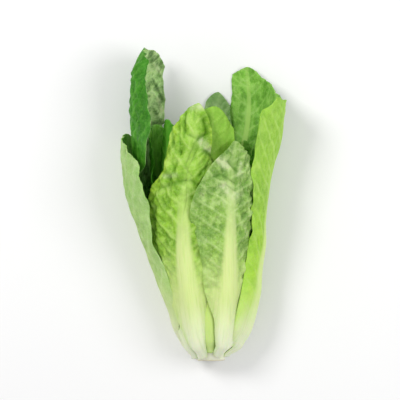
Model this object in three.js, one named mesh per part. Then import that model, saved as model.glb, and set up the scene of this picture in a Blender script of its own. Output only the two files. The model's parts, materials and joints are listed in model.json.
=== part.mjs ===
// A head of romaine (cos) lettuce, cut at the butt and lying on its back.
// Twenty leaves grow from a short stem in four whorls: a loose outer whorl with two tall leaves, two whorls
// of wrapping leaves and a small heart. Millimetres, +Z up. The head lies along Y with its cut butt at -Y.
// The origin is under the middle of the head, on the surface it lies on.
import * as THREE from "three";

// Driving dimensions.
const BLADE = 0.9; // thickness of a leaf blade
const STEM_LENGTH = 60; // from the cut face to the growing tip, deep inside the head
const STEM_GAP = 0.7; // clearance between the stem and each leaf's root
const ROOT_RISE = 11; // the length over which a leaf swings out from the stem to its own place in the head
const PETIOLE = 16; // half-width of a full-size leaf stalk where the blade begins to fan out

// Half-width of the whole head, and how much flatter it is than wide, at distances from the cut butt.
const HEAD_HALF_WIDTH = [[0, 14], [10, 22.5], [29, 29.5], [47, 35.5], [65, 41.5], [92, 48.5], [119, 55],
  [146, 59.5], [173, 62], [200, 65], [230, 66], [283, 64]];
const HEAD_FLATNESS = [[0, 1], [20, 0.98], [45, 0.88], [80, 0.8], [130, 0.75], [283, 0.75]];
// The head's middle line leans a little to the left, and sinks where the leaves are pressed on the surface.
const MIDDLE_X = [[0, -2], [60, -6], [110, -10.5], [160, -11], [210, -8], [283, -8]];
const MIDDLE_LIFT = [[0, 1.5], [40, 0], [80, -4], [120, -6], [220, -6], [283, 0]];
// Shallow folds that every layer shares, so that nested leaves stay clear of one another.
const FOLD_DEPTH = [[60, 0], [110, 1], [170, 2.4], [283, 3]];

const STEM_RADIUS = [[0, 13], [10, 12.5], [25, 10], [45, 7], [56, 4.5], [60, 2.5]];

// Half-width of a stalk by distance from its root.
const STALK_HALF_WIDTH = [[0, 5.5], [8, 7.7], [15, 10], [27, 13.3], [60, PETIOLE + 1]];
// How a half-leaf opens from stalk (0) to full blade (1) by share of its length: early, in the middle, late,
// steadily, in two steps, early with a slanting shoulder, clasping the head from its foot, clasping it
// broadly, all at once high up, and early with a slim top.
const EARLY = [[0, 0], [0.18, 0.02], [0.35, 0.32], [0.55, 0.74], [0.76, 1], [1, 1]];
const MIDWAY = [[0, 0], [0.35, 0.03], [0.46, 0.15], [0.55, 0.42], [0.64, 0.62], [0.8, 1], [1, 1]];
const LATE = [[0, 0], [0.4, 0.05], [0.58, 0.2], [0.7, 0.5], [0.82, 1], [1, 1]];
const STEADY = [[0, 0], [0.04, 0.03], [0.08, 0.15], [0.18, 0.17], [0.34, 0.16], [0.46, 0.22], [0.62, 0.46],
  [0.74, 0.6], [0.83, 0.82], [0.92, 1], [1, 0.55]];
const STEPPED = [[0, 0], [0.12, -0.12], [0.22, -0.16], [0.32, 0.1], [0.42, 0.27], [0.56, 0.33], [0.7, 0.55],
  [0.82, 1], [1, 1]];
const SLANTED = [[0, 0], [0.11, -0.02], [0.18, 0.05], [0.25, 0.16], [0.31, 0.28], [0.38, 0.42], [0.47, 0.66],
  [0.54, 0.86], [0.585, 0.88], [0.626, 0.8], [0.665, 0.7], [0.705, 0.53], [0.744, 0.4], [0.8, 0.22],
  [0.9, 0.15], [1, 0.15]];
const CLASPING = [[0, 0], [0.05, 0], [0.1, 0.15], [0.18, 0.46], [0.28, 0.66], [0.38, 0.72], [0.48, 0.76],
  [0.56, 0.82], [0.76, 1], [1, 1]];
const BROAD = [[0, 0], [0.05, 0], [0.1, 0.1], [0.18, 0.31], [0.28, 0.44], [0.38, 0.51], [0.5, 0.58],
  [0.62, 0.7], [0.73, 0.8], [0.82, 0.9], [1, 0.84]];
const SUDDEN = [[0, 0], [0.3, -0.1], [0.5, -0.3], [0.6, -0.38], [0.645, 0.35], [0.69, 0.72], [0.74, 0.88],
  [0.8, 1], [1, 1]];
const SLIM = [[0, 0], [0.1, -0.1], [0.2, -0.15], [0.28, 0.05], [0.38, 0.5], [0.5, 0.82], [0.62, 1],
  [0.72, 0.8], [0.8, 0.35], [0.88, 0], [1, -0.2]];
const TIP_ROUNDING = 1.3; // how blunt a pointed top is at its very tip: 1 is sharp
const NARROWING = 0.6; // past this share of the length the blade narrows to its rounded top
// The midrib stands out of the back of the leaf.
const RIB_HEIGHT = [[0, 3], [0.12, 4], [0.3, 2.9], [0.55, 1.5], [0.8, 0.6], [1, 0.2]];
const RIB_HALF_WIDTH = [[0, 6], [0.12, 11], [0.3, 9.5], [0.6, 5.5], [1, 2.5]];

// Whorls: rings of leaves with the same stem height, size and grid.
const OUTER = { size: 1, rib: 1, columns: 10, rows: 24 };
const SECOND = { size: 0.9, rib: 0.7, columns: 10, rows: 18 };
const THIRD = { size: 0.75, rib: 0.7, columns: 8, rows: 14 };
const HEART = { size: 0.6, rib: 0.5, columns: 6, rows: 12 };

// How far a leaf stands off its layer, by share of its length.
const UPRIGHT = [[0, 0], [1, 0]];
// How much of its tuck a margin has, by share of its length.
const TUCKED = [[0.07, 0], [0.16, 1], [0.42, 1], [0.56, 0.3], [0.7, 0]];

// Each leaf: heading is the direction of its back round the head, in degrees from +X towards +Z (90 is up,
// 270 is the surface), turn how far that swings by the tip, layer its place between the middle (0) and the
// outside (1), root and tip where it starts and ends along the head, lean how far it stands off its layer.
// minus and plus are its halves on each side of the midrib: [half-width, drop of the shoulder below the tip,
// width left at the top, bend of the top edge, how the half opens]. tuck is how far the margins are drawn in
// against the leaf beneath: [minus, plus].
const LEAVES = [
  { name: "leaf_01_back_left", tint: "pale", whorl: OUTER, heading: 220, turn: -14,
    layer: 1.01, root: 3, tip: 206,
    lean: [[0, 0], [0.07, 2.5], [0.14, 3], [0.22, 0.5], [0.6, 0.5], [0.7, 4], [0.8, 8], [0.92, 10], [1, 9]],
    minus: [76, 26, 0.9, 1.6, BROAD], plus: [34, 30, 0.75, 2, EARLY], tuck: [2.2, 0],
    floor: 0, ruffle: 1.2, waves: 3, phase: 0.4 },
  { name: "leaf_02_right", tint: "lime", whorl: OUTER, heading: 6, turn: -7,
    layer: 1.01, root: 4, tip: 233,
    lean: [[0, 0], [0.06, 1.8], [0.11, 5], [0.25, 5], [0.34, 3.5], [0.44, 3.5], [0.54, 0], [0.68, -0.6],
      [0.76, 0], [0.86, 2], [0.93, 4], [1, 7.5]],
    minus: [36, 22, 0.7, 2, LATE], plus: [56, -5, 0.68, 1.3, STEADY], tuck: [0, 3.2],
    floor: 0, ruffle: 1, waves: 3.5, phase: 2.1 },
  { name: "leaf_03_left_tall", tint: "dark", whorl: OUTER, heading: 172, turn: 23,
    layer: 0.82, root: 2, tip: 282, lean: [[0.5, 0], [0.62, 8], [0.73, 12], [0.86, 10], [0.94, 8.5], [1, 2]],
    minus: [44, 12, 0.75, 2.5, SUDDEN], plus: [38, 14, 0.7, 2.5, LATE],
    floor: 0, ruffle: 0.9, waves: 4, phase: 1.2 },
  { name: "leaf_04_right_tall", tint: "green", whorl: OUTER, heading: 317, turn: -12,
    layer: 0.93, root: 3, tip: 267, lean: [[0.7, 0], [0.88, 6], [1, 8]],
    minus: [30, 6, 0.8, 1.5, SLIM], plus: [57, 29, 0.95, 0.53, EARLY],
    floor: 0, ruffle: 1, waves: 3.5, phase: 5.2 },
  { name: "leaf_05_front_right", tint: "lime", whorl: OUTER, heading: 55, turn: 8,
    layer: 0.95, root: 5, tip: 198, lean: UPRIGHT,
    minus: [30, 20, 0.7, 2, CLASPING], plus: [34, 40, 0.75, 1.3, STEPPED],
    floor: 0, ruffle: 1.2, waves: 4, phase: 3.4 },
  { name: "leaf_06_back", tint: "green", whorl: OUTER, heading: 264, turn: 19,
    layer: 0.87, root: 5, tip: 245, lean: UPRIGHT,
    minus: [32, 8, 0.7, 2, SLIM], plus: [32, 13, 0.7, 1.3, SLIM],
    floor: 1.9, ruffle: 1, waves: 3, phase: 0 },
  { name: "leaf_07_front_left", tint: "lime", whorl: OUTER, heading: 124, turn: -29,
    layer: 0.88, root: 4, tip: 231, lean: [[0.56, 0], [0.86, -1]],
    minus: [33, 22, 0.75, 1.6, SLIM], plus: [54, 20, 1, 1.2, SLANTED],
    floor: 0, ruffle: 1, waves: 4, phase: 4.4 },

  { name: "leaf_08", tint: "lime", whorl: SECOND, heading: 90, turn: -8,
    layer: 0.71, root: 9, tip: 228, lean: [[0.56, 0], [0.86, -1]],
    minus: [25, 18, 0.7, 2, EARLY], plus: [34, 24, 0.7, 2, EARLY],
    floor: 0, ruffle: 1.2, waves: 3, phase: 0.8 },
  { name: "leaf_09", tint: "green", whorl: SECOND, heading: 325, turn: 0,
    layer: 0.71, root: 15, tip: 200, lean: [[0.56, 0], [0.86, -2]],
    minus: [33, 28, 0.7, 2, EARLY], plus: [33, 28, 0.7, 2, EARLY],
    floor: 0, ruffle: 1, waves: 3, phase: 2.8 },
  { name: "leaf_10", tint: "dark", whorl: SECOND, heading: 208, turn: 0,
    layer: 0.67, root: 14, tip: 214, lean: [[0.56, 0], [0.86, 5]],
    minus: [33, 28, 0.7, 2, EARLY], plus: [33, 28, 0.7, 2, EARLY],
    floor: 0, ruffle: 1, waves: 3, phase: 4.6 },
  { name: "leaf_11", tint: "green", whorl: SECOND, heading: 34, turn: 0,
    layer: 0.61, root: 16, tip: 192, lean: [[0.56, 0], [0.86, -1]],
    minus: [30, 26, 0.7, 2, EARLY], plus: [30, 26, 0.7, 2, EARLY],
    floor: 0, ruffle: 1, waves: 3, phase: 1.5 },
  { name: "leaf_12", tint: "green", whorl: SECOND, heading: 152, turn: 0,
    layer: 0.6, root: 15, tip: 216, lean: [[0.56, 0], [0.86, -1]],
    minus: [30, 26, 0.7, 2, EARLY], plus: [30, 26, 0.7, 2, EARLY],
    floor: 0, ruffle: 1, waves: 3, phase: 5.7 },
  { name: "leaf_13", tint: "green", whorl: SECOND, heading: 270, turn: 0,
    layer: 0.6, root: 14, tip: 218, lean: [[0.56, 0], [0.86, -1]],
    minus: [30, 26, 0.7, 2, EARLY], plus: [30, 26, 0.7, 2, EARLY],
    floor: 0, ruffle: 1, waves: 3, phase: 3.9 },

  { name: "leaf_14", tint: "lime", whorl: THIRD, heading: 5, turn: 0,
    layer: 0.49, root: 27, tip: 190, lean: [[0.56, 0], [0.86, -1]],
    minus: [31, 22, 0.7, 2, EARLY], plus: [31, 22, 0.7, 2, EARLY],
    floor: 0, ruffle: 0.8, waves: 2.5, phase: 0.6 },
  { name: "leaf_15", tint: "lime", whorl: THIRD, heading: 95, turn: 0,
    layer: 0.4, root: 30, tip: 216, lean: [[0.56, 0], [0.86, -1]],
    minus: [27, 22, 0.7, 2, EARLY], plus: [27, 22, 0.7, 2, EARLY],
    floor: 0, ruffle: 0.8, waves: 2.5, phase: 2.6 },
  { name: "leaf_16", tint: "lime", whorl: THIRD, heading: 187, turn: 0,
    layer: 0.48, root: 28, tip: 212, lean: [[0.56, 0], [0.86, -1]],
    minus: [31, 22, 0.7, 2, EARLY], plus: [31, 22, 0.7, 2, EARLY],
    floor: 0, ruffle: 0.8, waves: 2.5, phase: 4.1 },
  { name: "leaf_17", tint: "lime", whorl: THIRD, heading: 275, turn: 0,
    layer: 0.4, root: 31, tip: 208, lean: [[0.56, 0], [0.86, -1]],
    minus: [27, 22, 0.7, 2, EARLY], plus: [27, 22, 0.7, 2, EARLY],
    floor: 0, ruffle: 0.8, waves: 2.5, phase: 5.4 },

  { name: "leaf_18_heart", tint: "pale", whorl: HEART, heading: 40, turn: 0,
    layer: 0.29, root: 42, tip: 196, lean: UPRIGHT,
    minus: [24, 16, 0.65, 2, EARLY], plus: [24, 16, 0.65, 2, EARLY],
    floor: 0, ruffle: 0.6, waves: 2, phase: 1 },
  { name: "leaf_19_heart", tint: "pale", whorl: HEART, heading: 160, turn: 0,
    layer: 0.21, root: 45, tip: 190, lean: UPRIGHT,
    minus: [18, 16, 0.65, 2, EARLY], plus: [18, 16, 0.65, 2, EARLY],
    floor: 0, ruffle: 0.5, waves: 2, phase: 3 },
  { name: "leaf_20_heart", tint: "pale", whorl: HEART, heading: 280, turn: 0,
    layer: 0.13, root: 46, tip: 184, lean: UPRIGHT,
    minus: [12, 16, 0.65, 2, EARLY], plus: [12, 16, 0.65, 2, EARLY],
    floor: 0, ruffle: 0.4, waves: 2, phase: 5 },
];

const smoothstep = THREE.MathUtils.smoothstep;

// A smooth curve through [x, value] points, level past both ends.
function through(points, x) {
  const last = points.length - 1;
  if (x <= points[0][0]) return points[0][1];
  if (x >= points[last][0]) return points[last][1];
  let k = 0;
  while (x > points[k + 1][0]) k++;
  const slope = (i) => {
    const before = points[Math.max(i - 1, 0)];
    const after = points[Math.min(i + 1, last)];
    return (after[1] - before[1]) / (after[0] - before[0]);
  };
  const span = points[k + 1][0] - points[k][0];
  const u = (x - points[k][0]) / span;
  const lift = u * u * (3 - 2 * u);
  return points[k][1] * (1 - lift) + points[k + 1][1] * lift
    + span * u * (1 - u) * (slope(k) * (1 - u) - slope(k + 1) * u);
}

// Share of a shoulder's drop at a share of the way to the margin: a bend under 1 makes a pointed top, one
// over 1 a round one.
function fall(away, bend) {
  return bend < 1 ? 1 - Math.max(0, 1 - away ** TIP_ROUNDING) ** (1 / bend) : away ** bend;
}

// Half-width of the blade at share s of its length and distance from the root, for one half of a leaf.
function bladeHalfWidth(leaf, half, s, distance) {
  const [width, , topShare, , opening] = half;
  const { size } = leaf.whorl;
  const stalk = through(STALK_HALF_WIDTH, distance) * size;
  const full = stalk + (width - PETIOLE * size) * through(opening, s);
  const past = Math.max(0, (s - NARROWING) / (1 - NARROWING));
  return full * (1 - (1 - topShare) * past * past);
}

// The middle surface of a leaf: s runs from its root to its tip, t from its minus edge to its plus edge.
function leafMiddle(leaf, s, t) {
  const half = t < 0 ? leaf.minus : leaf.plus;
  const [, drop, , bend] = half;
  const top = leaf.tip - drop * fall(Math.abs(t), bend);
  const y = leaf.root + (top - leaf.root) * s;
  const distance = y - leaf.root;
  const atStem = through(STEM_RADIUS, y) + STEM_GAP + BLADE / 2;
  const inHead = Math.max(atStem, leaf.layer * through(HEAD_HALF_WIDTH, y));
  const flatness = through(HEAD_FLATNESS, y);
  let radius = atStem + (inHead - atStem) * smoothstep(distance, 0, ROOT_RISE);
  const across = t * bladeHalfWidth(leaf, half, s, distance);
  const meanRadius = (radius * (1 + flatness)) / 2;
  const angle = THREE.MathUtils.degToRad(leaf.heading + leaf.turn * s) + across / meanRadius;
  const folds = 0.6 * Math.sin(3 * angle + y / 22) + 0.4 * Math.sin(5 * angle - y / 17 + 1.3);
  const ruffle = Math.abs(t) ** 3 * Math.sin(2 * Math.PI * leaf.waves * s + leaf.phase + (t < 0 ? 2 : 0));
  radius += through(FOLD_DEPTH, y) * folds * leaf.layer
    + leaf.ruffle * ruffle * smoothstep(s, 0.3, 0.6)
    + through(leaf.lean, s)
    - (leaf.tuck?.[t < 0 ? 0 : 1] ?? 0) * t ** 4 * through(TUCKED, s);
  return new THREE.Vector3(
    through(MIDDLE_X, y) + radius * Math.cos(angle),
    y,
    flatness * through(HEAD_HALF_WIDTH, y) + through(MIDDLE_LIFT, y) + radius * flatness * Math.sin(angle),
  );
}

// How far the midrib stands out of the back of the leaf.
function ribBulge(leaf, s, t) {
  const half = t < 0 ? leaf.minus : leaf.plus;
  const across = t * bladeHalfWidth(leaf, half, s, (leaf.tip - leaf.root) * s);
  const share = Math.abs(across) / (through(RIB_HALF_WIDTH, s) * leaf.whorl.size);
  return share < 1 ? leaf.whorl.rib * through(RIB_HEIGHT, s) * (1 - share * share) ** 2 : 0;
}

// The back (outer) and face (inner) points of a leaf. The outer whorl is pressed flat on the surface.
function leafSides(leaf, s, t) {
  const step = 1e-3;
  const middle = leafMiddle(leaf, s, t);
  const along = leafMiddle(leaf, s + step, t).sub(leafMiddle(leaf, s - step, t));
  const across = leafMiddle(leaf, s, t + step).sub(leafMiddle(leaf, s, t - step));
  const outward = along.cross(across).normalize();
  const back = middle.clone().addScaledVector(outward, BLADE / 2 + ribBulge(leaf, s, t));
  const face = middle.clone().addScaledVector(outward, -BLADE / 2);
  const lift = Math.max(0, leaf.floor - back.z);
  back.z += lift;
  face.z += lift;
  return { back, face };
}

// A closed thin solid from two matching sheets of (columns + 1) x (rows + 1) points, split alike.
function thinSolid(columns, rows, sidesAt) {
  const backs = [];
  const faces = [];
  for (let row = 0; row <= rows; row++) {
    for (let column = 0; column <= columns; column++) {
      const { back, face } = sidesAt(column / columns, row / rows);
      backs.push(...back.toArray());
      faces.push(...face.toArray());
    }
  }
  const wide = columns + 1;
  const count = wide * (rows + 1);
  const index = [];
  for (let row = 0; row < rows; row++) {
    for (let column = 0; column < columns; column++) {
      const a = row * wide + column;
      const [b, c, d] = [a + 1, a + wide + 1, a + wide];
      index.push(a, c, b, a, d, c);
      index.push(count + a, count + b, count + c, count + a, count + c, count + d);
    }
  }
  const rim = [];
  for (let column = 0; column < columns; column++) rim.push(column);
  for (let row = 0; row < rows; row++) rim.push(row * wide + columns);
  for (let column = columns; column > 0; column--) rim.push(rows * wide + column);
  for (let row = rows; row > 0; row--) rim.push(row * wide);
  rim.forEach((from, i) => {
    const to = rim[(i + 1) % rim.length];
    index.push(from, to, count + to, from, count + to, count + from);
  });
  const geometry = new THREE.BufferGeometry();
  geometry.setAttribute("position", new THREE.Float32BufferAttribute([...backs, ...faces], 3));
  geometry.setIndex(index);
  geometry.computeVertexNormals();
  return geometry;
}

function leafGeometry(leaf) {
  const { columns, rows } = leaf.whorl;
  // Columns crowd towards the midrib, where the leaf changes most.
  const crowd = (u) => Math.sign(u) * Math.abs(u) ** 1.5;
  return thinSolid(columns, rows, (u, s) => leafSides(leaf, s, crowd(2 * u - 1)));
}

// The stem is turned about the head's middle line and bent along it.
function stemGeometry() {
  const steps = 8;
  const profile = [new THREE.Vector2(0, 0)];
  for (let i = 0; i <= steps; i++) {
    const y = (STEM_LENGTH * i) / steps;
    profile.push(new THREE.Vector2(through(STEM_RADIUS, y), y));
  }
  profile.push(new THREE.Vector2(0, STEM_LENGTH));
  const geometry = new THREE.LatheGeometry(profile, 20);
  const { position } = geometry.attributes;
  for (let i = 0; i < position.count; i++) {
    const y = position.getY(i);
    const flatness = through(HEAD_FLATNESS, y);
    const middleZ = flatness * through(HEAD_HALF_WIDTH, y) + through(MIDDLE_LIFT, y);
    position.setXYZ(i, position.getX(i) + through(MIDDLE_X, y), y, middleZ + flatness * position.getZ(i));
  }
  geometry.computeVertexNormals();
  return geometry;
}

const leafMaterials = {
  dark: new THREE.MeshStandardMaterial({ color: 0x3f8418, roughness: 0.45, metalness: 0 }),
  green: new THREE.MeshStandardMaterial({ color: 0x74ae34, roughness: 0.45, metalness: 0 }),
  lime: new THREE.MeshStandardMaterial({ color: 0xa5d04f, roughness: 0.45, metalness: 0 }),
  pale: new THREE.MeshStandardMaterial({ color: 0xcbe095, roughness: 0.5, metalness: 0 }),
};
const stemMaterial = new THREE.MeshStandardMaterial({ color: 0xe6e8c8, roughness: 0.6, metalness: 0 });

const head = new THREE.Group();
const stem = new THREE.Mesh(stemGeometry(), stemMaterial);
stem.name = "stem";
head.add(stem);
for (const leaf of LEAVES) {
  const mesh = new THREE.Mesh(leafGeometry(leaf), leafMaterials[leaf.tint]);
  mesh.name = leaf.name;
  head.add(mesh);
}
const box = new THREE.Box3().setFromObject(head, true);
head.position.set(-(box.min.x + box.max.x) / 2, -(box.min.y + box.max.y) / 2, -box.min.z);

export default head;
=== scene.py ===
"""A head of romaine lettuce on a pale floor, seen from straight above.

Every leaf is a fine, waved, veined sheet on the same curve as its solid, with a fleshy stalk at its foot.
Sizes are in millimetres until a mesh is finished, and Blender's own metres after that.
"""
import json
import math

import bmesh
import bpy
import numpy as np
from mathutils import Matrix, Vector


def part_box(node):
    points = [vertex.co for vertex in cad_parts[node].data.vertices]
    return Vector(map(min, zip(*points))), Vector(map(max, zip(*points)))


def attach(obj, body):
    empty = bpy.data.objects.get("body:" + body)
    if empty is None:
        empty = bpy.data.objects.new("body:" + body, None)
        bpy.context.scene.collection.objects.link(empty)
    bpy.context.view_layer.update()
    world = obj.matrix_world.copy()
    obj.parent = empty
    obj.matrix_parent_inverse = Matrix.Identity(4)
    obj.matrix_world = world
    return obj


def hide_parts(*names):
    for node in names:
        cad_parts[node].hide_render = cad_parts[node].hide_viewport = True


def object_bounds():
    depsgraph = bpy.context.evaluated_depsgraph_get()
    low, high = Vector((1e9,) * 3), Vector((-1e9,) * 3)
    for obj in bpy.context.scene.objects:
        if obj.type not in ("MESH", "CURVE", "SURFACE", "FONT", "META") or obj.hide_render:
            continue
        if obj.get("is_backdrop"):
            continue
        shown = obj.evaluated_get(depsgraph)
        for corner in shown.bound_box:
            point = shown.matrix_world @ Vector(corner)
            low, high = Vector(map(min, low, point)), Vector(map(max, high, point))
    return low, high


MM = 0.001

# The whole head, at distances from the cut butt: its half-width, how much flatter it is than wide, its middle
# line, and the shallow folds that every layer shares.
HEAD_HALF_WIDTH = [[0, 14], [10, 22.5], [29, 29.5], [47, 35.5], [65, 41.5], [92, 48.5], [119, 55],
                   [146, 59.5], [173, 62], [200, 65], [230, 66], [283, 64]]
HEAD_FLATNESS = [[0, 1], [20, 0.98], [45, 0.88], [80, 0.8], [130, 0.75], [283, 0.75]]
MIDDLE_X = [[0, -2], [60, -6], [110, -10.5], [160, -11], [210, -8], [283, -8]]
MIDDLE_LIFT = [[0, 1.5], [40, 0], [80, -4], [120, -6], [220, -6], [283, 0]]
FOLD_DEPTH = [[60, 0], [110, 1], [170, 2.4], [283, 3]]

STEM_RADIUS = [[0, 13], [10, 12.5], [25, 10], [45, 7], [56, 4.5], [60, 2.5]]
STEM_LENGTH = 60
STEM_GAP = 0.7
BLADE = 0.9
ROOT_RISE = 11
PETIOLE = 16
STALK_HALF_WIDTH = [[0, 5.5], [8, 7.7], [15, 10], [27, 13.3], [60, PETIOLE + 1]]

# How a half-leaf opens from stalk (0) to full blade (1) by share of its length: early, late, steadily, in
# two steps, early with a slanting shoulder, clasping the head from its foot, clasping it broadly, all at once
# high up, and early with a slim top.
EARLY = [[0, 0], [0.18, 0.02], [0.35, 0.32], [0.55, 0.74], [0.76, 1], [1, 1]]
LATE = [[0, 0], [0.4, 0.05], [0.58, 0.2], [0.7, 0.5], [0.82, 1], [1, 1]]
STEADY = [[0, 0], [0.04, 0.03], [0.08, 0.15], [0.18, 0.17], [0.34, 0.16], [0.46, 0.22], [0.62, 0.46],
          [0.74, 0.6], [0.83, 0.82], [0.92, 1], [1, 0.55]]
STEPPED = [[0, 0], [0.12, -0.12], [0.22, -0.16], [0.32, 0.1], [0.42, 0.27], [0.56, 0.33], [0.7, 0.55],
           [0.82, 1], [1, 1]]
SLANTED = [[0, 0], [0.11, -0.02], [0.18, 0.05], [0.25, 0.16], [0.31, 0.28], [0.38, 0.42], [0.47, 0.66],
           [0.54, 0.86], [0.585, 0.88], [0.626, 0.8], [0.665, 0.7], [0.705, 0.53], [0.744, 0.4],
           [0.8, 0.22], [0.9, 0.15], [1, 0.15]]
CLASPING = [[0, 0], [0.05, 0], [0.1, 0.15], [0.18, 0.46], [0.28, 0.66], [0.38, 0.72], [0.48, 0.76],
            [0.56, 0.82], [0.76, 1], [1, 1]]
BROAD = [[0, 0], [0.05, 0], [0.1, 0.1], [0.18, 0.31], [0.28, 0.44], [0.38, 0.51], [0.5, 0.58],
         [0.62, 0.7], [0.73, 0.8], [0.82, 0.9], [1, 0.84]]
SUDDEN = [[0, 0], [0.3, -0.1], [0.5, -0.3], [0.6, -0.38], [0.645, 0.35], [0.69, 0.72], [0.74, 0.88],
          [0.8, 1], [1, 1]]
SLIM = [[0, 0], [0.1, -0.1], [0.2, -0.15], [0.28, 0.05], [0.38, 0.5], [0.5, 0.82], [0.62, 1], [0.72, 0.8],
        [0.8, 0.35], [0.88, 0], [1, -0.2]]
TIP_ROUNDING = 1.3
NARROWING = 0.6
RIB_HEIGHT = [[0, 3], [0.12, 4], [0.3, 2.9], [0.55, 1.5], [0.8, 0.6], [1, 0.2]]
RIB_HALF_WIDTH = [[0, 6], [0.12, 11], [0.3, 9.5], [0.6, 5.5], [1, 2.5]]

# Whorls: size of the leaf, height of its rib, and the grid of its fine sheet.
OUTER = {"size": 1, "rib": 1, "columns": 116, "rows": 196}
SECOND = {"size": 0.9, "rib": 0.7, "columns": 72, "rows": 120}
THIRD = {"size": 0.75, "rib": 0.7, "columns": 40, "rows": 80}
HEART = {"size": 0.6, "rib": 0.5, "columns": 30, "rows": 60}

# By share of the leaf's length: no lean at all, where margins are drawn in, and where the fine sheet's are
# drawn in further.
UPRIGHT = [[0, 0], [1, 0]]
TUCKED = [[0.07, 0], [0.16, 1], [0.42, 1], [0.56, 0.3], [0.7, 0]]
PRESSED = [[0.02, 0], [0.06, 1.6], [0.2, 1.5], [0.42, 1], [0.56, 0.4], [0.7, 0]]

# Spacing of the lateral veins, width of the cells between them, how the sheet's columns crowd to the midrib,
# and the step over which its slopes are taken.
VEIN_SPACING = 17
CELL_WIDTH = 7.5
CROWDING = 1.4
SHEET_STEP = 1e-3

# The stem's cut: its radius and how deep it is dished, and the rings and turns of the stem's mesh.
CUT_RADIUS = 12.9
CUT_DISH = 0.5
STEM_RINGS = 48
STEM_TURNS = 72

# Creases in the leaves on top and at the left: the line of each, from and to, in the head's own x and y, then
# its depth and its width. Along each line the sheet is dented, and its colour is darkened there as painted
# shade.
FRONT_CREASES = [
    (-24, 222, -25, 206, 3.0, 2.0), (-9, 216, -6, 205, 4.5, 2.4), (-6, 205, -14, 199, 4.0, 2.2),
    (-14, 199, -21, 203, 2.5, 2.0), (-37, 214, -35, 196, 3.0, 2.2), (-31, 221, -29, 186, 1.8, 1.8),
    (-17, 195, -24, 178, 2.2, 2.2), (-8, 189, -1, 184, 4.0, 2.4), (-2, 182, -12, 168, 3.0, 2.4),
    (-47, 156, -37, 160, 2.0, 3.4), (-37, 160, -24, 163, 3.4, 3.6), (-20, 163, -13, 159, 3.4, 3.0),
    (-36, 182, -33, 168, 2.0, 2.0), (-25, 174, -18, 166, 2.0, 2.0),
]
RIGHT_CREASES = [
    (13, 180, 21, 171, 3.0, 2.0), (0, 166, 8, 168, 3.0, 2.2), (8, 168, 20, 160, 2.6, 2.0),
    (5, 156, 12, 159, 1.6, 1.8), (12, 159, 19, 154, 2.2, 2.0), (25, 190, 22, 176, 2.0, 1.8),
    (6, 178, 9, 170, 2.0, 2.0), (26, 168, 29, 152, 2.0, 2.0),
]
LEFT_CREASES = [
    (-59, 276, -54, 265, 1.5, 1.5), (-55, 256, -46, 238, 2.6, 1.7), (-55, 243, -50, 236, 1.6, 1.5),
    (-55, 231, -47, 216, 2.4, 1.7), (-50, 264, -44, 250, 1.8, 1.5),
]

# Pale patches painted on the same leaves as highlights: the line of each patch, from and to, then its
# strength and its width.
FRONT_BLOOM = [(-11, 198, -4, 190, 3.0, 5.0), (-43, 167, -33, 168, 2.6, 3.0), (-19, 227, -8, 228, 2.6, 4.0)]
LEFT_BLOOM = [(-50, 238, -47, 227, 2.6, 3.0), (-53, 269, -48, 262, 2.0, 3.0)]
RIGHT_BLOOM = [(5, 182, 11, 176, 3.0, 5.0), (9, 158, 19, 149, 3.0, 6.0), (24, 178, 22, 168, 2.0, 4.0)]


def leaf(whorl, look, heading, turn, layer, root, tip, minus, plus, ruffle, waves, phase, lean=UPRIGHT,
         tuck=(0, 0), press=(0, 0), under=(0, 0), floor=0.0, blister=1.5, frill=2.0, fold=0.8, curl=0.0,
         crumple=0.0, creases=(), bloom=()):
    """One leaf's shape. minus and plus are its halves: half-width, drop of the shoulder, share of the width
    left at the top, bend of the top edge, and how the half opens.
    lean is how far it stands off its layer, tuck how far its margins are drawn in against the leaf beneath,
    press more of that in the fine sheet, and under how far a margin that runs under its neighbour is drawn in
    higher up.
    blister, frill, fold, curl and crumple are the depths, in millimetres, of its small blisters, wavy margin,
    long folds, rolled top and the little folds that run every way."""
    return locals()


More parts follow.
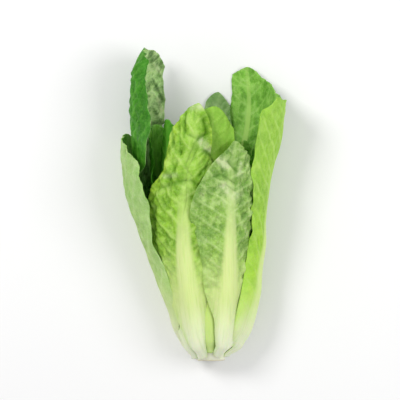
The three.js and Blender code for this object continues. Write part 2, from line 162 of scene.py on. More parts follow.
LEAVES = {
    "leaf_01_back_left": leaf(OUTER, "pale", 220, -14, 1.01, 3, 206, [76, 26, 0.9, 1.6, BROAD],
                              [34, 30, 0.75, 2, EARLY], 1.2, 3, 0.4,
                              lean=[[0, 0], [0.07, 2.5], [0.14, 3], [0.22, 0.5], [0.6, 0.5], [0.7, 4],
                                    [0.8, 8], [0.92, 10], [1, 9]], tuck=(2.2, 0), press=(1.9, 0)),
    "leaf_02_right": leaf(OUTER, "bright", 6, -7, 1.01, 4, 233, [36, 22, 0.7, 2, LATE],
                          [56, -5, 0.68, 1.3, STEADY], 1, 3.5, 2.1,
                          lean=[[0, 0], [0.06, 1.8], [0.11, 5], [0.25, 5], [0.34, 3.5], [0.44, 3.5],
                                [0.54, 0], [0.68, -0.6], [0.76, 0], [0.86, 2], [0.93, 4], [1, 7.5]],
                          tuck=(0, 3.2), press=(0, 1.6), blister=1.2, fold=0.5),
    "leaf_03_left_tall": leaf(OUTER, "dark", 172, 23, 0.82, 2, 282, [44, 12, 0.75, 2.5, SUDDEN],
                              [38, 14, 0.7, 2.5, LATE], 0.9, 4, 1.2,
                              lean=[[0.5, 0], [0.62, 8], [0.73, 12], [0.86, 10], [0.94, 8.5], [1, 2]],
                              frill=1.4, crumple=0.9, creases=LEFT_CREASES, bloom=LEFT_BLOOM),
    "leaf_04_right_tall": leaf(OUTER, "green", 317, -12, 0.93, 3, 267, [30, 6, 0.8, 1.5, SLIM],
                               [57, 29, 0.95, 0.53, EARLY], 1, 3.5, 5.2, lean=[[0.7, 0], [0.88, 6], [1, 8]],
                               blister=1.4, frill=1.0),
    "leaf_05_front_right": leaf(OUTER, "crisp", 55, 8, 0.95, 5, 198, [30, 20, 0.7, 2, CLASPING],
                                [34, 40, 0.75, 1.3, STEPPED], 1.2, 4, 3.4, press=(-1.4, 2.0), under=(2.4, 0),
                                blister=2.2, frill=3.0, fold=1.8, crumple=1.5, creases=RIGHT_CREASES,
                                bloom=RIGHT_BLOOM),
    "leaf_06_back": leaf(OUTER, "grey", 264, 19, 0.87, 5, 245, [32, 8, 0.7, 2, SLIM],
                         [32, 13, 0.7, 1.3, SLIM], 1, 3, 0, floor=1.9, frill=1.0),
    "leaf_07_front_left": leaf(OUTER, "fresh", 124, -29, 0.88, 4, 231, [33, 22, 0.75, 1.6, SLIM],
                               [54, 20, 1, 1.2, SLANTED], 1, 4, 4.4, lean=[[0.56, 0], [0.86, -1]],
                               press=(2.4, -1.4), under=(2.2, 0), blister=2.4, frill=2.4, fold=2.6, curl=3.0,
                               crumple=1.4, creases=FRONT_CREASES, bloom=FRONT_BLOOM),
    "leaf_08": leaf(SECOND, "groove", 90, -8, 0.71, 9, 228, [25, 18, 0.7, 2, EARLY],
                    [34, 24, 0.7, 2, EARLY], 1.2, 3, 0.8, lean=[[0.56, 0], [0.86, -1]], blister=0.8,
                    fold=1.0),
    "leaf_09": leaf(SECOND, "green", 325, 0, 0.71, 15, 200, [33, 28, 0.7, 2, EARLY],
                    [33, 28, 0.7, 2, EARLY], 1, 3, 2.8, lean=[[0.56, 0], [0.86, -2]]),
    "leaf_10": leaf(SECOND, "shade", 208, 0, 0.67, 14, 214, [33, 28, 0.7, 2, EARLY],
                    [33, 28, 0.7, 2, EARLY], 1, 3, 4.6, lean=[[0.56, 0], [0.86, 5]]),
    "leaf_11": leaf(SECOND, "green", 34, 0, 0.61, 16, 192, [30, 26, 0.7, 2, EARLY],
                    [30, 26, 0.7, 2, EARLY], 1, 3, 1.5, lean=[[0.56, 0], [0.86, -1]]),
    "leaf_12": leaf(SECOND, "shade", 152, 0, 0.6, 15, 216, [30, 26, 0.7, 2, EARLY],
                    [30, 26, 0.7, 2, EARLY], 1, 3, 5.7, lean=[[0.56, 0], [0.86, -1]]),
    "leaf_13": leaf(SECOND, "green", 270, 0, 0.6, 14, 218, [30, 26, 0.7, 2, EARLY],
                    [30, 26, 0.7, 2, EARLY], 1, 3, 3.9, lean=[[0.56, 0], [0.86, -1]]),
    "leaf_14": leaf(THIRD, "lime", 5, 0, 0.49, 27, 190, [31, 22, 0.7, 2, EARLY], [31, 22, 0.7, 2, EARLY],
                    0.8, 2.5, 0.6, lean=[[0.56, 0], [0.86, -1]], blister=1.2, frill=1.5),
    "leaf_15": leaf(THIRD, "lime", 95, 0, 0.4, 30, 216, [27, 22, 0.7, 2, EARLY], [27, 22, 0.7, 2, EARLY],
                    0.8, 2.5, 2.6, lean=[[0.56, 0], [0.86, -1]], blister=1.2, frill=1.5),
    "leaf_16": leaf(THIRD, "lime", 187, 0, 0.48, 28, 212, [31, 22, 0.7, 2, EARLY], [31, 22, 0.7, 2, EARLY],
                    0.8, 2.5, 4.1, lean=[[0.56, 0], [0.86, -1]], blister=1.2, frill=1.5),
    "leaf_17": leaf(THIRD, "lime", 275, 0, 0.4, 31, 208, [27, 22, 0.7, 2, EARLY], [27, 22, 0.7, 2, EARLY],
                    0.8, 2.5, 5.4, lean=[[0.56, 0], [0.86, -1]], blister=1.2, frill=1.5),
    "leaf_18_heart": leaf(HEART, "heart", 40, 0, 0.29, 42, 196, [24, 16, 0.65, 2, EARLY],
                          [24, 16, 0.65, 2, EARLY], 0.6, 2, 1, blister=0.8, frill=0.8, fold=0.3),
    "leaf_19_heart": leaf(HEART, "heart", 160, 0, 0.21, 45, 190, [18, 16, 0.65, 2, EARLY],
                          [18, 16, 0.65, 2, EARLY], 0.5, 2, 3, blister=0.7, frill=0.6, fold=0.2),
    "leaf_20_heart": leaf(HEART, "heart", 280, 0, 0.13, 46, 184, [12, 16, 0.65, 2, EARLY],
                          [12, 16, 0.65, 2, EARLY], 0.4, 2, 5, blister=0.5, frill=0.4, fold=0.1),
}


def through(points, x):
    """A smooth curve through [x, value] points, level past both ends."""
    at, value = np.array(points, float).T
    last = len(at) - 1
    before = np.maximum(np.arange(last + 1) - 1, 0)
    after = np.minimum(np.arange(last + 1) + 1, last)
    slope = (value[after] - value[before]) / (at[after] - at[before])
    x = np.clip(np.asarray(x, float), at[0], at[-1])
    k = np.clip(np.searchsorted(at, x, side="left") - 1, 0, last - 1)
    span = at[k + 1] - at[k]
    u = (x - at[k]) / span
    lift = u * u * (3 - 2 * u)
    blend = value[k] * (1 - lift) + value[k + 1] * lift
    return blend + span * u * (1 - u) * (slope[k] * (1 - u) - slope[k + 1] * u)


def rise(x, low, high):
    """A smooth step from 0 at low to 1 at high."""
    u = np.clip((x - low) / (high - low), 0, 1)
    return u * u * (3 - 2 * u)


def half_of(shape, t, part):
    """A value of the leaf's minus or plus half, by the side that t is on."""
    return np.where(t < 0, shape["minus"][part], shape["plus"][part])


def fall(away, bend):
    """Share of a shoulder's drop: a bend under 1 makes a pointed top, one over 1 a round one."""
    pointed = 1 - np.maximum(0, 1 - away ** TIP_ROUNDING) ** (1 / bend)
    return np.where(bend < 1, pointed, away ** bend)


def blade_half_width(shape, s, t, distance):
    size = shape["whorl"]["size"]
    stalk = through(STALK_HALF_WIDTH, distance) * size
    opened = np.where(t < 0, through(shape["minus"][4], s), through(shape["plus"][4], s))
    full = stalk + (half_of(shape, t, 0) - PETIOLE * size) * opened
    past = np.maximum(0, (s - NARROWING) / (1 - NARROWING))
    return full * (1 - (1 - half_of(shape, t, 2)) * past * past)


def rib_bulge(shape, s, across):
    """How far the midrib stands out of the back: a round back with shallow flutes down its sides."""
    share = np.abs(across) / (through(RIB_HALF_WIDTH, s) * shape["whorl"]["size"])
    body = np.where(share < 1, (1 - np.minimum(share, 1) ** 2) ** 2, 0)
    return shape["whorl"]["rib"] * through(RIB_HEIGHT, s) * body


def wobble(a, b, seed):
    """Smooth unevenness between about -1 and 1."""
    return (np.sin(a + 0.6 * b + seed) + np.sin(0.53 * a - 0.9 * b + 1.7 * seed)
            + np.sin(1.61 * a + 1.13 * b + 2.3 * seed)) / 3


def scatter(column, row, seed):
    """A value between -1 and 1 that differs from cell to cell, the same on every run."""
    return 2 * np.modf(np.abs(np.sin(12.9898 * column + 78.233 * row + seed) * 43758.5453))[0] - 1


def cells(u, v, seed):
    """Irregular cells of about unit size: 0 on the lines between them, and 1 in their middles."""
    first = np.full_like(u, 9.0)
    second = np.full_like(u, 9.0)
    for i in (-1, 0, 1):
        for j in (-1, 0, 1):
            column, row = np.floor(u) + i, np.floor(v) + j
            off_u, off_v = scatter(column, row, seed), scatter(row + 31, column, seed)
            away = np.hypot(column + 0.5 + 0.36 * off_u - u, row + 0.5 + 0.36 * off_v - v)
            second = np.minimum(second, np.maximum(first, away))
            first = np.minimum(first, away)
    return rise(second - first, 0, 0.55)


def veins(shape, across, distance):
    """Lateral veins that climb outward from the midrib, 1 on their ridges, and the cells between them."""
    seed, size = shape["phase"], shape["whorl"]["size"]
    out = np.abs(across)
    side = np.where(across < 0, 0.5, 0.0)
    climb = distance - 0.8 * out - 0.008 * out * out + 6 * wobble(out / 23, distance / 37, seed)
    climb = climb + 1.8 * wobble(out / 6, distance / 7, seed + 1)
    lateral = climb / (VEIN_SPACING * size) + side
    ridge = np.cos(math.pi * lateral) ** 2
    cell = cells(2 * lateral, out / (CELL_WIDTH * size) + 0.3 * lateral + 7 * side, seed)
    return ridge, cell


def shared_folds(angle, y):
    """Long folds that run up the head, the same for every layer, with a sharp crease between them."""
    run = 9 * angle + 1.3 * np.sin(y / 19 + 2 * angle) + 0.6 * np.sin(y / 8.3 + 5 * angle)
    return np.abs(np.sin(run)) * (0.8 + 0.5 * np.sin(y / 27 + 4 * angle)) - 0.6


def crumpled(across, distance, seed):
    """Sharp little folds that run every way, between about -1 and 1."""
    a = across / 4.3 + 1.5 * wobble(across / 9, distance / 8, seed + 6)
    b = distance / 4.9 + 1.7 * wobble(across / 8, distance / 11, seed + 9)
    return np.abs(np.sin(a + 0.5 * b)) + np.abs(np.sin(b - 0.7 * a + seed)) - 1.2


def along_lines(lines, x, y):
    """How strong the nearest of some lines is at each point, fading with the distance from it."""
    depth = np.zeros_like(x)
    for x0, y0, x1, y1, most, width in lines:
        run_x, run_y = x1 - x0, y1 - y0
        share = np.clip(((x - x0) * run_x + (y - y0) * run_y) / (run_x ** 2 + run_y ** 2), 0, 1)
        away = np.hypot(x - x0 - share * run_x, y - y0 - share * run_y)
        depth = np.maximum(depth, most * np.exp(-away / width))
    return depth


def relief(shape, s, t, across, distance, angle, x, y):
    """How far the sheet stands off its smooth curve: veined, blistered, folded, frilled and rolled."""
    size, seed = shape["whorl"]["size"], shape["phase"]
    ridge, cell = veins(shape, across, distance)
    rib_edge = through(RIB_HALF_WIDTH, s) * size
    on_blade = rise(np.abs(across), rib_edge * 0.5, rib_edge + 6) * rise(s, 0.2, 0.5)
    uneven = 0.8 + 0.5 * wobble(across / 13, distance / 16, seed + 5)
    blister = -shape["blister"] * size * cell * uneven * (1 - ridge ** 4) + 0.5 * size * ridge ** 8
    folds = shape["fold"] * shared_folds(angle, y) * rise(s, 0.4, 0.8)
    edge = np.abs(t) ** 6 * rise(s, 0.35, 0.6)
    run = distance / 7.5 + 2.2 * wobble(distance / 31, across / 40, seed) + np.where(t < 0, 1.3, 0)
    top = rise(s, 0.86, 1.0)
    frill = shape["frill"] * (edge * (np.sin(run) + 0.4 * np.sin(2.3 * run + seed))
                              + 0.7 * top * wobble(across / 3.4, distance / 30, seed + 4))
    curl = shape["curl"] * top * top * wobble(across / 7, 0 * y, seed + 8)
    crumple = shape["crumple"] * crumpled(across, distance, seed)
    sheet = (blister + crumple) * on_blade * (1 - 0.5 * edge)
    return sheet + folds + frill + curl - along_lines(shape["creases"], x, y)


def leaf_middle(shape, s, t):
    """The middle surface of a leaf: s from root to tip, t from its minus edge to its plus edge."""
    drop, bend = half_of(shape, t, 1), half_of(shape, t, 3)
    length = shape["tip"] - shape["root"] - drop * fall(np.abs(t), bend)
    y = shape["root"] + length * s
    distance = y - shape["root"]
    at_stem = through(STEM_RADIUS, y) + STEM_GAP + BLADE / 2
    in_head = np.maximum(at_stem, shape["layer"] * through(HEAD_HALF_WIDTH, y))
    flatness = through(HEAD_FLATNESS, y)
    radius = at_stem + (in_head - at_stem) * rise(distance, 0, ROOT_RISE)
    half_width = blade_half_width(shape, s, t, distance)
    across = t * half_width
    angle = np.radians(shape["heading"] + shape["turn"] * s) + across / (radius * (1 + flatness) / 2)
    folds = 0.6 * np.sin(3 * angle + y / 22) + 0.4 * np.sin(5 * angle - y / 17 + 1.3)
    wave = np.sin(2 * math.pi * shape["waves"] * s + shape["phase"] + np.where(t < 0, 2, 0))
    radius = radius + through(FOLD_DEPTH, y) * folds * shape["layer"]
    radius = radius + shape["ruffle"] * np.abs(t) ** 3 * wave * rise(s, 0.3, 0.6)
    tuck = np.where(t < 0, *shape["tuck"]) * t ** 4 * through(TUCKED, s)
    radius = radius + through(shape["lean"], s) - tuck
    radius = radius - np.where(t < 0, *shape["press"]) * t ** 4 * through(PRESSED, s)
    radius = radius - np.where(t < 0, *shape["under"]) * t ** 4 * rise(s, 0.5, 0.65)
    x = through(MIDDLE_X, y) + radius * np.cos(angle)
    radius = radius + relief(shape, s, t, across, distance, angle, x, y)
    y = y + 1.2 * shape["frill"] * rise(s, 0.86, 1.0) * wobble(across / 5, 0 * y, shape["phase"] + 3)
    x = through(MIDDLE_X, y) + radius * np.cos(angle)
    z = flatness * (through(HEAD_HALF_WIDTH, y) + radius * np.sin(angle)) + through(MIDDLE_LIFT, y)
    return np.stack([x, y, z], 1), across, distance


def leaf_points(shape, s, t, on_back):
    """The leaf's surface points, with what its material needs to know at each of them."""
    middle, across, distance = leaf_middle(shape, s, t)
    along = leaf_middle(shape, s + SHEET_STEP, t)[0] - leaf_middle(shape, s - SHEET_STEP, t)[0]
    sideways = leaf_middle(shape, s, t + SHEET_STEP)[0] - leaf_middle(shape, s, t - SHEET_STEP)[0]
    outward = np.cross(along, sideways)
    outward /= np.linalg.norm(outward, axis=1)[:, None]
    rib = rib_bulge(shape, s, across)
    back = middle + outward * (BLADE / 2 + rib)[:, None]
    front = middle - outward * BLADE / 2
    lift = np.maximum(0, shape["floor"] - back[:, 2])
    points = np.where(on_back[:, None], back, front)
    points[:, 2] += lift
    ridge, cell = veins(shape, across, distance)
    reach = through(RIB_HALF_WIDTH, s) * shape["whorl"]["size"]
    on_blade = rise(np.abs(across), reach * 0.5, reach + 4)
    marks = {
        "Vein": ridge ** 12 * (1 - 0.5 * np.abs(t)),
        "Cell": cell * on_blade * rise(s, 0.2, 0.45),
        "Rib": np.clip(1.3 - np.abs(across) / reach, 0, 1),
        "Height": distance / 100,
        "Margin": np.abs(t),
        "Inside": 1.0 - on_back,
        # Nearness to the creases, where the colour is darkened as painted shade.
        "Crease": along_lines(shape["creases"], middle[:, 0], middle[:, 1]) / 3,
        # Nearness to the lines of the painted pale highlights.
        "Bloom": along_lines(shape["bloom"], middle[:, 0], middle[:, 1]) / 3,
    }
    place = np.stack([across / 10, distance / 10, np.full_like(across, shape["phase"] * 10)], 1)
    return points, marks, place


def new_piece(name, mesh_data, material, node, slot):
    mesh = bpy.data.meshes.new(name)
    mesh_data.to_mesh(mesh)
    mesh_data.free()
    mesh.materials.append(material)
    mesh.shade_smooth()
    piece = bpy.data.objects.new(name, mesh)
    bpy.context.scene.collection.objects.link(piece)
    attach(piece, "root")
    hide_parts(node)
    return piece


def keep_marks(mesh, marks):
    for mark, values in marks.items():
        mesh.attributes.new(mark, "FLOAT", "POINT").data.foreach_set("value", values.astype(np.float32))


def leaf_piece(name, shape, shift, material, slot):
    """A closed thin sheet: two matching grids bridged round their rims, then moved on to the leaf's curve."""
    whorl = shape["whorl"]
    sheet = bmesh.new()
    grid = bmesh.ops.create_grid(sheet, x_segments=whorl["columns"], y_segments=whorl["rows"], size=1)
    copy = bmesh.ops.duplicate(sheet, geom=sheet.verts[:] + sheet.edges[:] + sheet.faces[:])["geom"]
    back = [part for part in copy if isinstance(part, bmesh.types.BMVert)]
    bmesh.ops.translate(sheet, verts=back, vec=(0, 0, 1))
    bmesh.ops.reverse_faces(sheet, faces=[face for face in sheet.faces if face.verts[0].co.z < 0.5])
    rims = [edge for edge in sheet.edges if edge.is_boundary]
    bmesh.ops.bridge_loops(sheet, edges=rims)
    piece = new_piece(name + "_sheet", sheet, material, name, slot)
    mesh = piece.data
    flat = np.empty(len(mesh.vertices) * 3)
    mesh.vertices.foreach_get("co", flat)
    u, v, side = flat.reshape(-1, 3).T
    t = np.sign(u) * np.abs(u) ** CROWDING
    points, marks, place = leaf_points(shape, (v + 1) / 2, t, side > 0.5)
    mesh.vertices.foreach_set("co", ((points + shift) * MM).ravel())
    keep_marks(mesh, marks)
    mesh.attributes.new("Leaf", "FLOAT_VECTOR", "POINT").data.foreach_set("vector", place.ravel())
    mesh.update()
    return piece


class Socket:
    """A node's output, with the arithmetic that the materials use."""

    def __init__(self, tree, output):
        self.tree = tree
        self.output = output

    def make(self, kind, settings=None, output=0, **inputs):
        """Any node: its type, its settings, which output to hand back, and its sockets' values or links."""
        node = self.tree.nodes.new(kind)
        stops = (settings or {}).pop("stops", None)
        for name, value in (settings or {}).items():
            setattr(node, name, value)
        if stops:
            ramp = node.color_ramp.elements
            while len(ramp) < len(stops):
                ramp.new(0.5)
            for element, (place, colour) in zip(ramp, stops):
                element.position = place
                element.color = (*colour, 1)
        for name, value in inputs.items():
            target = node.inputs[int(name[1:]) if name[0] == "_" else name.replace("_", " ")]
            if isinstance(value, Socket):
                self.tree.links.new(value.output, target)
            else:
                target.default_value = value
        return Socket(self.tree, node.outputs[output])

    def math(self, operation, other):
        return self.make("ShaderNodeMath", {"operation": operation}, _0=self, _1=other)

    def __add__(self, other):
        return self.math("ADD", other)

    def __sub__(self, other):
        return self.math("SUBTRACT", other)

    def __mul__(self, other):
        return self.math("MULTIPLY", other)

    def __rsub__(self, other):
        return self.make("ShaderNodeMath", {"operation": "SUBTRACT"}, _0=other, _1=self)

    def __pow__(self, other):
        return self.math("POWER", other)

    __radd__ = __add__
    __rmul__ = __mul__

    def step(self, low, high):
        """0 below low, 1 above high, smooth between."""
        settings = {"interpolation_type": "SMOOTHSTEP", "clamp": True}
        return self.make("ShaderNodeMapRange", settings, Value=self, From_Min=low, From_Max=high)


def rgb(code):
    """A colour as seen, such as "a5d04f", in the linear values that shaders take."""
    channels = [int(code[i:i + 2], 16) / 255 for i in (0, 2, 4)]
    return tuple(c / 12.92 if c <= 0.04045 else ((c + 0.055) / 1.055) ** 2.4 for c in channels)


def mix(share, first, second):
    """A colour share of the way from first to second."""
    settings = {"data_type": "RGBA", "blend_type": "MIX"}
    first = first if isinstance(first, Socket) else (*first, 1)
    second = second if isinstance(second, Socket) else (*second, 1)
    return share.make("ShaderNodeMix", settings, output=2, _0=share, _6=first, _7=second)


def new_material(name):
    """A material with its shader, and a socket of its tree to build from."""
    material = bpy.data.materials.new(name)
    material.use_nodes = True
    shader = material.node_tree.nodes["Principled BSDF"]
    place = material.node_tree.nodes.new("ShaderNodeTexCoord").outputs["Object"]
    return material, shader, Socket(material.node_tree, place)


def join(socket, shader, name):
    socket.tree.links.new(socket.output, shader.inputs[name])


# Each look: the back of the blade low down and near its top, its darker patches, which also serve as painted
# shade along the creases, its inner face, the veins of both, and its stalk; then how far up, in tenths of a
# metre, its stalk and its midrib fade, the colour of its root, how strongly it is mottled, the colour of its
# margins, and how far up its blade turns to its top colour.
def look(low, high, deep, face, vein, face_vein, stalk, foot=(0.15, 0.8), rib=(0.9, 1.7), butt="ecf2d4",
         spots=0.2, edge=None, turns=(0.4, 1.7)):
    # Every look shares one pale colour for the painted highlights.
    return {"low": rgb(low), "high": rgb(high), "deep": rgb(deep), "face": rgb(face), "vein": rgb(vein),
            "face_vein": rgb(face_vein), "stalk": rgb(stalk), "butt": rgb(butt), "bloom": rgb("ccd8a8"),
            "foot": foot, "rib": rib, "spots": spots, "edge": rgb(edge or high), "turns": turns}


LEAF_LOOKS = {
    "pale": look("c0dc84", "a0c872", "7cae4c", "8ab858", "d2e4ac", "b4d080", "d6e4a0"),
    "bright": look("b0e22e", "a0d046", "76ac2a", "80b82c", "c0e078", "a8d060", "d4e898"),
    "lime": look("a0d430", "90c436", "6a9e1e", "80b82c", "bcdf78", "a8d060", "d4e498"),
    "groove": look("9ccf30", "86b83a", "6a9e1e", "80b82c", "a4cf5a", "98c450", "c2de72", butt="c8e08c"),
    "fresh": look("98c832", "8fc234", "548810", "92c63c", "b9da74", "b9da74", "d6e698", foot=(0.3, 1.1),
                  spots=0.5, edge="b6d82c"),
    "crisp": look("9ccb44", "82ac48", "588632", "98c64c", "c2dc92", "c2dc92", "d6e698", foot=(0.3, 1.1),
                  spots=0.5),
    "green": look("92c636", "589820", "468414", "86c246", "b0d870", "a8d470", "d0e294", rib=(2.0, 2.9),
                  turns=(1.6, 2.5)),
    "grey": look("92c636", "6c9a4c", "58883c", "7f9e63", "94b474", "94b474", "d0e294"),
    "dark": look("5c9a20", "3c8c0c", "124e00", "bade90", "74b444", "d6ecb0", "c8de8c", edge="267406",
                 spots=0.3),
    # A darker green than the other inner leaves, for those seen down the shadowed gap at the left: painted
    # shade.
    "shade": look("68aa26", "4a9a1a", "2a700a", "86cc44", "74b444", "90cc60", "c8de8c"),
    "heart": look("dfe79a", "c8dc70", "aec74f", "cddd78", "e9efba", "e9efba", "e6ebc0"),
}


def leaf_material(name):
    """Living leaf: mottled blade, paler veins with a fine net between them, near-white fleshy stalk."""
    colours = LEAF_LOOKS[name]
    material, shader, place = new_material("leaf_" + name)
    mark = {part: place.make("ShaderNodeAttribute", {"attribute_name": part}, output="Fac")
            for part in ("Vein", "Cell", "Rib", "Height", "Crease", "Bloom", "Inside", "Margin")}
    leaf_place = place.make("ShaderNodeAttribute", {"attribute_name": "Leaf"}, output="Vector")
    patches = place.make("ShaderNodeTexNoise", Vector=leaf_place, Scale=0.5, Detail=4, Roughness=0.6)
    stretched = place.make("ShaderNodeVectorMath", {"operation": "MULTIPLY"}, _0=leaf_place, _1=(1, 0.55, 1))
    mottle = place.make("ShaderNodeTexNoise", Vector=stretched, Scale=1.5, Detail=5, Roughness=0.6)
    grain = place.make("ShaderNodeTexNoise", Vector=leaf_place, Scale=5, Detail=3, Roughness=0.6)
    long_way = place.make("ShaderNodeVectorMath", {"operation": "MULTIPLY"}, _0=leaf_place, _1=(7, 0.35, 1))
    fibres = place.make("ShaderNodeTexNoise", Vector=long_way, Scale=1, Detail=3, Roughness=0.55)
    net = place.make("ShaderNodeTexVoronoi", {"feature": "DISTANCE_TO_EDGE"}, Vector=leaf_place, Scale=3.4)
    net_line = 1 - net.step(0.0, 0.14)
    cell_line = 1 - mark["Cell"].step(0.0, 0.5)

    blade = mix(mark["Height"].step(*colours["turns"]), colours["low"], colours["high"])
    blade = mix(mark["Margin"].step(0.55, 1.0) * 0.6, blade, colours["edge"])
    blade = mix(mark["Inside"] * 0.9, blade, colours["face"])
    blade = mix(patches.step(0.42, 0.7) * 0.5 + mark["Cell"].step(0.3, 1.0) * 0.25, blade, colours["deep"])
    spots = colours["spots"] + mark["Inside"] * 0.35
    blade = mix((1 - mottle.step(0.38, 0.54)) * spots, blade, colours["deep"])
    vein = mix(mark["Inside"], colours["vein"], colours["face_vein"])
    blade = mix(mottle.step(0.48, 0.64) * spots, blade, vein)
    blade = mix(grain.step(0.35, 0.75) * 0.2, blade, vein)
    blade = mix(net_line * 0.14, blade, vein)
    blade = mix(mark["Vein"].step(0.1, 0.9) * (0.25 + mottle.step(0.35, 0.65) * 0.4), blade, vein)
    # Pale patches along the listed lines: painted highlights.
    blade = mix(mark["Bloom"].step(0.2, 0.8) * (0.3 + mottle.step(0.4, 0.6) * 0.5), blade, colours["bloom"])
    # Along the creases the blade is darkened toward its deep colour: painted shade.
    blade = mix(mark["Crease"].step(0.15, 1.0) * 0.7, blade, colours["deep"])
    # Inner faces low down, deep between the leaves, take the blade's top colour: a painted green tint for the
    # shade there.
    blade = mix((1 - mark["Height"].step(1.5, 2.1)) * mark["Inside"] * 0.85, blade, colours["high"])
    flesh = mix(mark["Height"].step(0.0, 0.6), colours["butt"], colours["stalk"])
    flesh = mix(mark["Height"].step(0.8, 1.9), flesh, colours["vein"])
    flesh = mix(fibres.step(0.45, 0.75) * 0.25 + mark["Margin"].step(0.6, 1.0) * 0.3, flesh, colours["low"])
    foot = 1 - mark["Height"].step(*colours["foot"])
    rib = (mark["Rib"] - mark["Height"].step(1.2, 2.6) * 0.35).step(0.15, 0.75)
    rib = rib * (1 - mark["Height"].step(*colours["rib"]) * 0.8)
    join(mix(rib + foot * (1 - rib), blade, flesh), shader, "Base Color")
    join(0.36 + 0.2 * grain + 0.08 * patches, shader, "Roughness")
    height = grain * 0.3 + net_line * 0.4 * (1 - rib) + fibres * 1.2 * rib + cell_line * 0.3 * (1 - rib)
    bump = place.make("ShaderNodeBump", Height=height, Strength=0.5, Distance=0.0005)
    join(bump, shader, "Normal")
    shader.inputs["Specular IOR Level"].default_value = 0.22
    shader.inputs["Subsurface Weight"].default_value = 0.2
    shader.inputs["Subsurface Radius"].default_value = (0.6, 1.0, 0.25)
    shader.inputs["Subsurface Scale"].default_value = 0.003
    return material


def stem_material():
    """Cream flesh, with a browned rim and a ring of sap vessels on the cut."""
    material, shader, place = new_material("stem_flesh")
    speckle = place.make("ShaderNodeTexNoise", Vector=place, Scale=260, Detail=3, Roughness=0.6)
    radius = place.make("ShaderNodeAttribute", {"attribute_name": "Radius"}, output="Fac")
    cut = place.make("ShaderNodeAttribute", {"attribute_name": "Cut"}, output="Fac")
    ring = radius.step(0.5, 0.62) * (1 - radius.step(0.66, 0.78))
    browned = radius.step(0.84, 1.0)
    flesh = mix(speckle.step(0.4, 0.75) * 0.5, rgb("eef0d8"), rgb("dfe3b8"))
    face = mix(ring * 0.6, flesh, rgb("c9c98c"))
    face = mix(browned * 0.6 + speckle.step(0.5, 0.8) * 0.15, face, rgb("c8ab7c"))
    join(mix(cut, flesh, face), shader, "Base Color")
    join(0.42 + 0.2 * speckle, shader, "Roughness")
    bump = place.make("ShaderNodeBump", Height=speckle + ring * 0.6, Strength=0.4, Distance=0.0005)
    join(bump, shader, "Normal")
    shader.inputs["Subsurface Weight"].default_value = 0.3
    shader.inputs["Subsurface Radius"].default_value = (1.0, 1.0, 0.6)
    shader.inputs["Subsurface Scale"].default_value = 0.003
    return material


def stem_piece(shift, material):
    """The stem, spun about its own line, then bent along the head's middle line."""
    solid = bmesh.new()
    heights = [STEM_LENGTH * i / STEM_RINGS for i in range(STEM_RINGS + 1)]
    cut_rings = [(CUT_RADIUS * share, CUT_DISH * (1 - share)) for share in (0, 0.2, 0.4, 0.6, 0.8, 0.95)]
    profile = cut_rings + [(float(through(STEM_RADIUS, y)), y) for y in heights] + [(0, STEM_LENGTH)]
    line = [solid.verts.new((radius, y, 0)) for radius, y in profile]
    edges = [solid.edges.new(pair) for pair in zip(line, line[1:])]
    bmesh.ops.spin(solid, geom=line + edges, axis=(0, 1, 0), cent=(0, 0, 0), angle=2 * math.pi,
                   steps=STEM_TURNS, use_merge=True)
    bmesh.ops.remove_doubles(solid, verts=solid.verts, dist=1e-4)
    bmesh.ops.recalc_face_normals(solid, faces=solid.faces)
    piece = new_piece("stem_flesh", solid, material, "stem", "stem")
    mesh = piece.data
    flat = np.empty(len(mesh.vertices) * 3)
    mesh.vertices.foreach_get("co", flat)
    x, y, z = flat.reshape(-1, 3).T
    radius = np.hypot(x, z)
    flatness = through(HEAD_FLATNESS, y)
    middle_z = flatness * through(HEAD_HALF_WIDTH, y) + through(MIDDLE_LIFT, y)
    points = np.stack([x + through(MIDDLE_X, y), y, middle_z + flatness * z], 1)
    mesh.vertices.foreach_set("co", ((points + shift) * MM).ravel())
    marks = {"Radius": radius / STEM_RADIUS[0][1], "Cut": 1 - rise(y, 0.5, 1.2)}
    keep_marks(mesh, marks)
    mesh.update()
    return piece


def plain_floor():
    half_width, gap = 6, 0.0004
    sheet = bmesh.new()
    bmesh.ops.create_grid(sheet, x_segments=1, y_segments=1, size=half_width)
    mesh = bpy.data.meshes.new("floor")
    sheet.to_mesh(mesh)
    sheet.free()
    material, shader, place = new_material("pale_floor")
    speckle = place.make("ShaderNodeTexNoise", Vector=place, Scale=3, Detail=2)
    join(mix(speckle, rgb("f3f3f4"), rgb("efeff1")), shader, "Base Color")
    shader.inputs["Roughness"].default_value = 0.9
    mesh.materials.append(material)
    floor = bpy.data.objects.new("floor", mesh)
    floor.location.z = -gap
    bpy.context.scene.collection.objects.link(floor)
    floor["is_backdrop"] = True


def aim(thing, at):
    direction = Vector(at) - thing.location
    thing.rotation_euler = direction.to_track_quat("-Z", "Y").to_euler()


def soft_light(name, place, size, power, colour, at):
    lamp = bpy.data.lights.new(name, "AREA")
    lamp.size = size
    lamp.energy = power
    lamp.color = colour
    light = bpy.data.objects.new(name, lamp)
    light.location = place
    bpy.context.scene.collection.objects.link(light)
    aim(light, at)


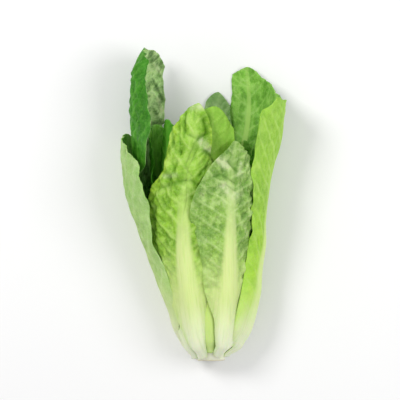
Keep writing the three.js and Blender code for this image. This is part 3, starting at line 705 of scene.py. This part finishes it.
def studio(middle):
    bpy.context.scene.view_settings.view_transform = "Standard"
    world = bpy.data.worlds.new("studio")
    world.use_nodes = True
    background = world.node_tree.nodes["Background"]
    background.inputs["Color"].default_value = (1.0, 1.0, 1.0, 1)
    background.inputs["Strength"].default_value = 0.55
    bpy.context.scene.world = world
    soft_light("key", (middle[0] - 0.75, middle[1] + 0.55, 1.2), 0.5, 10.5, (1.0, 0.99, 0.97), middle)
    soft_light("fill", (middle[0] + 0.8, middle[1] + 0.1, 1.0), 0.7, 6, (1.0, 1.0, 0.98), middle)


def overhead_camera(middle):
    """Straight down, with a frame 360 mm high at the head's mid-height."""
    height, view, sensor = 1.9, 0.36, 36
    lens = bpy.data.cameras.new("camera")
    lens.sensor_width = sensor
    lens.lens = sensor * height / view
    camera = bpy.data.objects.new("camera", lens)
    camera.location = (middle[0], middle[1], middle[2] + height)
    bpy.context.scene.collection.objects.link(camera)
    bpy.context.scene.camera = camera


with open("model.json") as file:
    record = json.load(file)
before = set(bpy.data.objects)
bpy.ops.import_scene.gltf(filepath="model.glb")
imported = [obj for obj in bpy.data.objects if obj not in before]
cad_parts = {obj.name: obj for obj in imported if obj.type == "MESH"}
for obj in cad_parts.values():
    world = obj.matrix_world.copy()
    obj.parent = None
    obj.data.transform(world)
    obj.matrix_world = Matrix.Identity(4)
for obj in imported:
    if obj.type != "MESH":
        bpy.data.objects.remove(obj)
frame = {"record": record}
cad_box = [list(corner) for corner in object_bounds()]
slots = {entry["node"]: entry["material_slot"] for entry in frame["record"]["subparts"]}

# The cut face of the stem is where y is 0, and its middle is where the head's middle line starts.
low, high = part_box("stem")
shift = np.array([(low[0] + high[0]) / 2 / MM - MIDDLE_X[0][1], low[1] / MM, 0])

# The camera's middle, from the cut butt along the head and across it.
VIEW_ALONG, VIEW_ACROSS, VIEW_HEIGHT = 145.8, -11.7, 40
middle = ((VIEW_ACROSS + shift[0]) * MM, (VIEW_ALONG + shift[1]) * MM, VIEW_HEIGHT * MM)

leaf_materials = {name: leaf_material(name) for name in LEAF_LOOKS}
stem_piece(shift, stem_material())
for name, shape in LEAVES.items():
    leaf_piece(name, shape, shift, leaf_materials[shape["look"]], slots[name])
plain_floor()
studio(middle)
overhead_camera(middle)

visual_box = [list(corner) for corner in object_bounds()]
